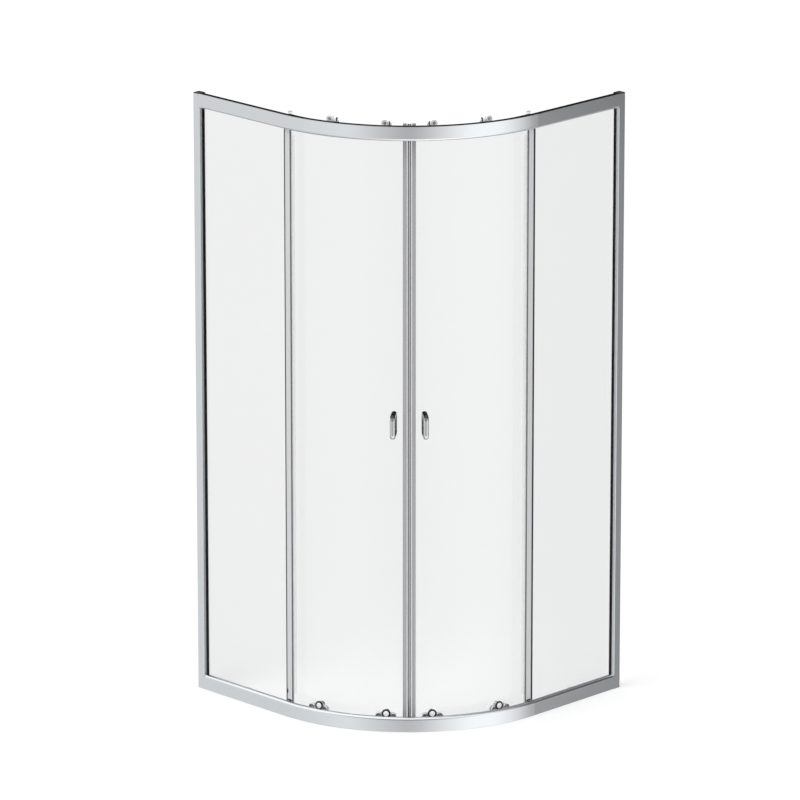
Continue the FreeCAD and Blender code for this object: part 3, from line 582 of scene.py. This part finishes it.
for side in SIDES:
    for place, angle in HANGER_ANGLES.items():
        wheel_length = math.radians(angle) * DOOR_RADIUS
        pad_length = wheel_length - PAD_REACH[place]
        block = plug_grid(side, (pad_length + PAD_HALF - PAD_LAP, wheel_length - BLOCK_REACH),
                          HANGER_DEPTHS, BLOCK_LOW, BLOCK_HEIGHT)
        pad = plug_grid(side, (pad_length - PAD_HALF, pad_length + PAD_HALF),
                        HANGER_DEPTHS, PAD_LOW, PAD_HEIGHT)
        # The white block has a painted glow.
        small_piece(f"hanger_block_{place}_{side}", block, painted_glow_nylon, "wheel", "door_" + side)
        small_piece(f"hanger_pad_{place}_{side}", pad, black_cap, "dark_cap", "door_" + side)
print("hanger blocks:", len(SIDES) * len(HANGER_ANGLES))

# %% [markdown]
# The trim on the free edge of each fixed pane has a grey rubber bead on its end, which the door meets,
# and stands in a black rubber foot. On the right pane a black lip runs along the glass beside the
# trim, and the photograph shows it as a thin black line. On the left one only a short black pad shows,
# just above the rail. A strip is a rounded rectangle carried straight up and drawn in at both ends.

# %% Strips along the trim of the fixed panes
STRIP_DRAWN_IN, STRIP_BEVEL, STRIP_SECTION_STEPS = 0.80, 0.0012, 25
BEAD_HALF, BEAD_PROUD = 0.0026, 0.0010
LIP_WIDE, LIP_DEEP, LIP_OVER = 0.0075, 0.0024, 0.0002
FOOT_OVER, FOOT_HEIGHT = 0.0009, 0.0060
TRIM_PAD_OVER, TRIM_PAD_BITE, TRIM_PAD_PROUD = 0.0024, 0.0022, 0.0016
TRIM_PAD_LIFT, TRIM_PAD_HEIGHT = 0.0240, 0.0130


def strip_grid(lowest, highest):
    """P(i, j) = c + k_i (x_j, y_j) + up z_i over a box, with k_i = 0 at both ends."""
    lowest, highest = np.array(lowest), np.array(highest)
    half, centre = (highest - lowest) / 2.0, (highest + lowest) / 2.0
    level = np.array([lowest[2], lowest[2], lowest[2] + STRIP_BEVEL,
                      highest[2] - STRIP_BEVEL, highest[2], highest[2]])
    scale = np.array([0.0, STRIP_DRAWN_IN, 1.0, 1.0, STRIP_DRAWN_IN, 0.0])
    wide, deep = soft_loop(half[0], half[1], STRIP_SECTION_STEPS)
    grid = np.empty((len(level), len(wide) - 1, 3))
    grid[..., 0] = centre[0] + scale[:, None] * wide[:-1]
    grid[..., 1] = centre[1] + scale[:, None] * deep[:-1]
    grid[..., 2] = level[:, None]
    return grid


def mirrored(grid, side):
    """The right side is the left one mirrored in the diagonal: (x, y) becomes (-y, -x)."""
    return grid if side == "left" else np.stack([-grid[..., 1], -grid[..., 0], grid[..., 2]], axis=-1)


low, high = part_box("edge_profile_left")
middle = (low[1] + high[1]) / 2.0
bead = strip_grid((high[0] - LIP_OVER, middle - BEAD_HALF, low[2]),
                  (high[0] + BEAD_PROUD, middle + BEAD_HALF, high[2]))
foot = strip_grid((low[0] - FOOT_OVER, low[1] - FOOT_OVER, low[2]),
                  (high[0] + FOOT_OVER, high[1] + FOOT_OVER, low[2] + FOOT_HEIGHT))
lip = strip_grid((low[0] - LIP_WIDE, low[1] - LIP_OVER, low[2]),
                 (low[0] - LIP_OVER, low[1] - LIP_OVER + LIP_DEEP, high[2]))
pad_low = low[2] + TRIM_PAD_LIFT
pad = strip_grid((low[0] - TRIM_PAD_OVER, low[1] - TRIM_PAD_PROUD, pad_low),
                 (low[0] + TRIM_PAD_BITE, low[1] + TRIM_PAD_BITE, pad_low + TRIM_PAD_HEIGHT))
for side in SIDES:
    small_piece("edge_bead_" + side, mirrored(bead, side), grey_rubber, "gasket", "frame")
    small_piece("edge_foot_" + side, mirrored(foot, side), black_cap, "dark_cap", "frame")
small_piece("edge_lip_right", mirrored(lip, "right"), gasket_rubber, "gasket", "frame")
small_piece("edge_pad_left", pad, black_cap, "dark_cap", "frame")
print("strips along the trim, height", round(high[2] - low[2], 3), "m")

# %% [markdown]
# The studio is a wide pale floor under soft light. The background is plain white: the floor and the
# world show white to the camera and through glass, while the floor still takes the shadow of the
# enclosure. Light that a mirror has sent on passes the floor and meets the paper drum of the next
# step, because bright metal shows the paper that stands round it.

# %% Floor and world
FLOOR_HALF = 40.0
FLOOR_CLOUD, FLOOR_TONES = (0.8, 0.8, 0.8), ((0.795, 0.795, 0.795), (0.805, 0.805, 0.805))
FLOOR_ROUGHNESS, FLOOR_GLOW = 0.9, 0.26
WORLD_LIGHT = 0.65


def white_to_lenses(tree):
    """1 for camera, glossy and transmission rays, else 0."""
    path = add_node(tree, "ShaderNodeLightPath")
    total = path.outputs["Is Camera Ray"]
    for kind in ("Is Glossy Ray", "Is Transmission Ray"):
        either = add_node(tree, "ShaderNodeMath")
        either.operation = "MAXIMUM"
        tree.links.new(total, either.inputs[0])
        tree.links.new(path.outputs[kind], either.inputs[1])
        total = either.outputs["Value"]
    return total


def behind_mirrors(tree, direct, sent_on):
    """Surface that shows one shader directly and another one to light that a mirror has sent on."""
    path = add_node(tree, "ShaderNodeLightPath")
    seen = add_node(tree, "ShaderNodeMath")
    seen.operation = "MINIMUM"
    seen.inputs[1].default_value = 1.0
    tree.links.new(path.outputs["Glossy Depth"], seen.inputs[0])
    mix = add_node(tree, "ShaderNodeMixShader", Fac=seen.outputs["Value"])
    tree.links.new(direct, mix.inputs[1])
    tree.links.new(sent_on, mix.inputs[2])
    return mix.outputs["Shader"]


def stage_sheet(name, points, faces, material):
    """Studio sheet from whole arrays of points and faces."""
    mesh = bpy.data.meshes.new(name)
    mesh.from_pydata(points.tolist(), [], faces.tolist())
    mesh.materials.append(material)
    sheet = bpy.data.objects.new(name, mesh)
    bpy.context.scene.collection.objects.link(sheet)
    return sheet


def floor_paint():
    """Diffuse pale grey plus a glow that only lenses see, and clear behind mirrors."""
    material, tree, shader = new_finish("pale_floor")
    colour = tones(tree, noise(tree, FLOOR_CLOUD), *FLOOR_TONES)
    tree.links.new(colour, shader.inputs["Base Color"])
    shader.inputs["Roughness"].default_value = FLOOR_ROUGHNESS
    shader.inputs["Specular IOR Level"].default_value = 0.0
    shader.inputs["Emission Color"].default_value = WHITE
    glow = spread(tree, white_to_lenses(tree), 0.0, FLOOR_GLOW)
    tree.links.new(glow, shader.inputs["Emission Strength"])
    clear = add_node(tree, "ShaderNodeBsdfTransparent")
    surface = behind_mirrors(tree, shader.outputs["BSDF"], clear.outputs["BSDF"])
    tree.links.new(surface, tree.nodes["Material Output"].inputs["Surface"])
    material.cycles.emission_sampling = "NONE"
    return material


def white_world():
    """World that is white to lenses and gives a plain even light."""
    world = bpy.data.worlds.new("studio_world")
    world.use_nodes = True
    bpy.context.scene.world = world
    tree = world.node_tree
    strength = spread(tree, white_to_lenses(tree), WORLD_LIGHT, 1.0)
    tree.links.new(strength, tree.nodes["Background"].inputs["Strength"])
    tree.nodes["Background"].inputs["Color"].default_value = WHITE


x, y = np.meshgrid([-FLOOR_HALF, FLOOR_HALF], [-FLOOR_HALF, FLOOR_HALF])
corners = np.stack([x, y, np.zeros_like(x)], axis=-1).reshape(-1, 3)
stage_sheet("studio_floor", corners, np.array([[0, 1, 3, 2]]), floor_paint())
white_world()
print("floor half width:", FLOOR_HALF, "m")

# %% [markdown]
# Bright metal shows what stands round it. In the photograph the rails run from light grey on the left
# over a darker middle and a white highlight to a dark right side. Their rounded edges show what is
# above and below: white over the left, a dark band and then white over the front, dark over the right,
# black over the back, and a bright floor. A closed drum of paper round the object gives the same
# tones. It has four bands, and in each of them the brightness depends on the compass angle. Only
# light that a mirror has sent on sees the drum.

# %% Paper drum for the reflections
DRUM_RADIUS, DRUM_POLE = 7.0, 0.01
DRUM_LOW, DRUM_HIGH = -6.5, 9.5
DRUM_STEPS = 96
FOOT_FADE = (-3.6, -2.8)
LID_FADE = (5.2, 6.2)
FOOT_TONES = [
    (-180.0, 0.50), (-135.0, 0.52), (-105.0, 0.62), (-75.0, 0.90), (-50.0, 1.25), (10.0, 1.25),
    (35.0, 0.85), (50.0, 0.62), (100.0, 0.50), (180.0, 0.50),
]
WALL_TONES = [
    (-180.0, 0.86), (-150.0, 0.79), (-135.0, 0.76), (-118.0, 0.79), (-83.0, 0.92), (-69.0, 0.76),
    (-60.0, 0.66), (-45.0, 0.48), (-35.0, 0.64), (-25.0, 0.86), (-6.0, 1.16), (15.0, 1.16), (30.0, 0.84),
    (41.0, 0.48), (47.0, 0.22), (70.0, 0.22), (100.0, 0.40), (120.0, 0.85), (135.0, 1.00),
    (150.0, 1.00), (180.0, 0.86),
]
UPPER_TONES = [
    (-180.0, 1.25), (-115.0, 1.15), (-90.0, 0.60), (-69.0, 0.36), (-45.0, 0.14), (-25.0, 0.36),
    (-2.0, 0.95), (12.0, 1.10), (32.0, 0.45), (45.0, 0.06), (65.0, 0.08), (80.0, 0.24), (108.0, 0.24),
    (118.0, 0.01), (152.0, 0.01), (163.0, 1.05), (180.0, 1.25),
]
LID_TONES = [
    (-180.0, 1.30), (-100.0, 1.25), (10.0, 1.20), (35.0, 0.60), (55.0, 0.24), (108.0, 0.24), (122.0, 1.10),
    (180.0, 1.30),
]
UPPER_STARTS = [
    (-180.0, -1.5), (-115.0, -1.2), (-90.0, 0.8), (10.0, 0.8), (40.0, -1.0), (75.0, -1.0), (105.0, 2.3),
    (152.0, 2.3), (163.0, -1.2), (180.0, -1.5),
]
UPPER_ENDS = [
    (-180.0, 5.5), (-115.0, 5.0), (-90.0, 1.8), (10.0, 1.8), (40.0, 1.0), (75.0, 1.0), (105.0, 3.0),
    (152.0, 3.0), (163.0, 5.0), (180.0, 5.5),
]


def by_compass(tree, fraction, stops):
    """Value by compass angle, as (degrees, value) stops of a ramp."""
    ramp = add_node(tree, "ShaderNodeValToRGB", Fac=fraction)
    elements = ramp.color_ramp.elements
    shares = [degrees / 360.0 + 0.5 for degrees, _ in stops]
    for share in shares[1:-1]:
        elements.new(share)
    for element, share, (_, value) in zip(elements, shares, stops):
        element.position = share
        element.color = (value, value, value, 1.0)
    return ramp.outputs["Color"]


def faded(tree, height, start, end, below, above):
    """One value below a fade and another above it, blended smoothly between two heights."""
    share = add_node(tree, "ShaderNodeMapRange", Value=height)
    share.interpolation_type = "SMOOTHSTEP"
    for socket, bound in (("From Min", start), ("From Max", end)):
        if isinstance(bound, float):
            share.inputs[socket].default_value = bound
        else:
            tree.links.new(bound, share.inputs[socket])
    blend = add_node(tree, "ShaderNodeMix")
    for socket, source in zip((0, 2, 3), (share.outputs["Result"], below, above)):
        tree.links.new(source, blend.inputs[socket])
    return blend.outputs[0]


def drum_paper():
    """Glow by compass angle in four bands: foot, wall, upper part and lid."""
    material = bpy.data.materials.new("drum_paper")
    material.use_nodes = True
    tree = material.node_tree
    tree.nodes.clear()
    place = add_node(tree, "ShaderNodeTexCoord")
    angle = add_node(tree, "ShaderNodeTexGradient", Vector=place.outputs["Object"])
    angle.gradient_type = "RADIAL"
    foot, wall, upper, lid, start, end = [
        by_compass(tree, angle.outputs["Fac"], stops)
        for stops in (FOOT_TONES, WALL_TONES, UPPER_TONES, LID_TONES, UPPER_STARTS, UPPER_ENDS)]
    height = add_node(tree, "ShaderNodeSeparateXYZ", Vector=place.outputs["Object"]).outputs["Z"]
    tone = faded(tree, height, *FOOT_FADE, foot, wall)
    tone = faded(tree, height, start, end, tone, upper)
    tone = faded(tree, height, *LID_FADE, tone, lid)
    glow = add_node(tree, "ShaderNodeEmission", Strength=tone)
    clear = add_node(tree, "ShaderNodeBsdfTransparent")
    surface = behind_mirrors(tree, clear.outputs["BSDF"], glow.outputs["Emission"])
    add_node(tree, "ShaderNodeOutputMaterial", Surface=surface)
    material.cycles.emission_sampling = "NONE"
    return material


def paper_drum():
    """Closed drum P(a, i) = (r_i cos a, r_i sin a, h_i) from the foot over the wall to the lid."""
    turn = np.linspace(0.0, 2.0 * math.pi, DRUM_STEPS, endpoint=False)
    radius = np.array([DRUM_POLE, DRUM_RADIUS, DRUM_RADIUS, DRUM_POLE])
    level = np.array([DRUM_LOW, DRUM_LOW, DRUM_HIGH, DRUM_HIGH])
    points = np.stack([np.outer(np.cos(turn), radius), np.outer(np.sin(turn), radius),
                       np.broadcast_to(level, (DRUM_STEPS, len(level)))], axis=-1)
    here = np.arange(points[..., 0].size).reshape(points.shape[:2])
    ahead = np.roll(here, -1, axis=0)
    faces = np.stack([here[:, :-1], ahead[:, :-1], ahead[:, 1:], here[:, 1:]], axis=-1)
    drum = stage_sheet("paper_drum", points.reshape(-1, 3), faces.reshape(-1, 4), drum_paper())
    drum.visible_camera = drum.visible_diffuse = False
    drum.visible_shadow = drum.visible_volume_scatter = False


paper_drum()
print("drum stops:", len(FOOT_TONES), len(WALL_TONES), len(UPPER_TONES), len(LID_TONES))

# %% [markdown]
# Two wide soft suns light the object, a stronger one from the front left and a weak one from the right.
# A sun lights a floor evenly, so the background stays one white. Mirrors don't see the suns, because the
# drum already says what they show.

# %% Lamps
SUNS = {"key_sun": (-95.0, 58.0, 30.0, 0.90), "fill_sun": (5.0, 52.0, 40.0, 0.35)}


def soft_sun(name, compass, height, spread_angle, power):
    """Sun from a compass angle, a height above the horizon and a spread, in degrees, with a power."""
    data = bpy.data.lights.new(name, "SUN")
    data.angle = math.radians(spread_angle)
    data.energy = power
    sun = bpy.data.objects.new(name, data)
    sun.rotation_euler = (math.radians(90.0 - height), 0.0, math.radians(compass + 90.0))
    sun.visible_glossy = False
    bpy.context.scene.collection.objects.link(sun)


for name, setting in SUNS.items():
    soft_sun(name, *setting)
print("suns:", len(SUNS))

# %% [markdown]
# The photograph looks straight at the corner along the diagonal, from well above and from far away,
# so its lens is long. Fitting the outline of the frame to the photograph gave the distance, height
# and tilt below.

# %% Camera
CAMERA_FROM_CORNER = 20.1956
CAMERA_HEIGHT = 6.6929
CAMERA_TILT = 16.4862
CAMERA_LEFT = 0.0272
CAMERA_FOCAL_SHARE = 6837.17 / 800.0
SENSOR, CAMERA_RANGE = 36.0, 200.0

corner_low, corner_high = cad_box
diagonal = math.radians(45.0)
data = bpy.data.cameras.new("photo_camera")
data.sensor_width = SENSOR
data.lens = CAMERA_FOCAL_SHARE * SENSOR
data.clip_end = CAMERA_RANGE
camera = bpy.data.objects.new("photo_camera", data)
away = CAMERA_FROM_CORNER * math.cos(diagonal)
aside = CAMERA_LEFT * math.cos(diagonal)
camera.location = (corner_low[0] + away - aside, corner_high[1] - away - aside, CAMERA_HEIGHT)
camera.rotation_euler = (math.radians(90.0 - CAMERA_TILT), 0.0, diagonal)
bpy.context.scene.collection.objects.link(camera)
bpy.context.scene.camera = camera
bpy.context.scene.view_settings.view_transform = "Standard"
print("camera:", tuple(round(c, 3) for c in camera.location), "lens", round(data.lens, 1))
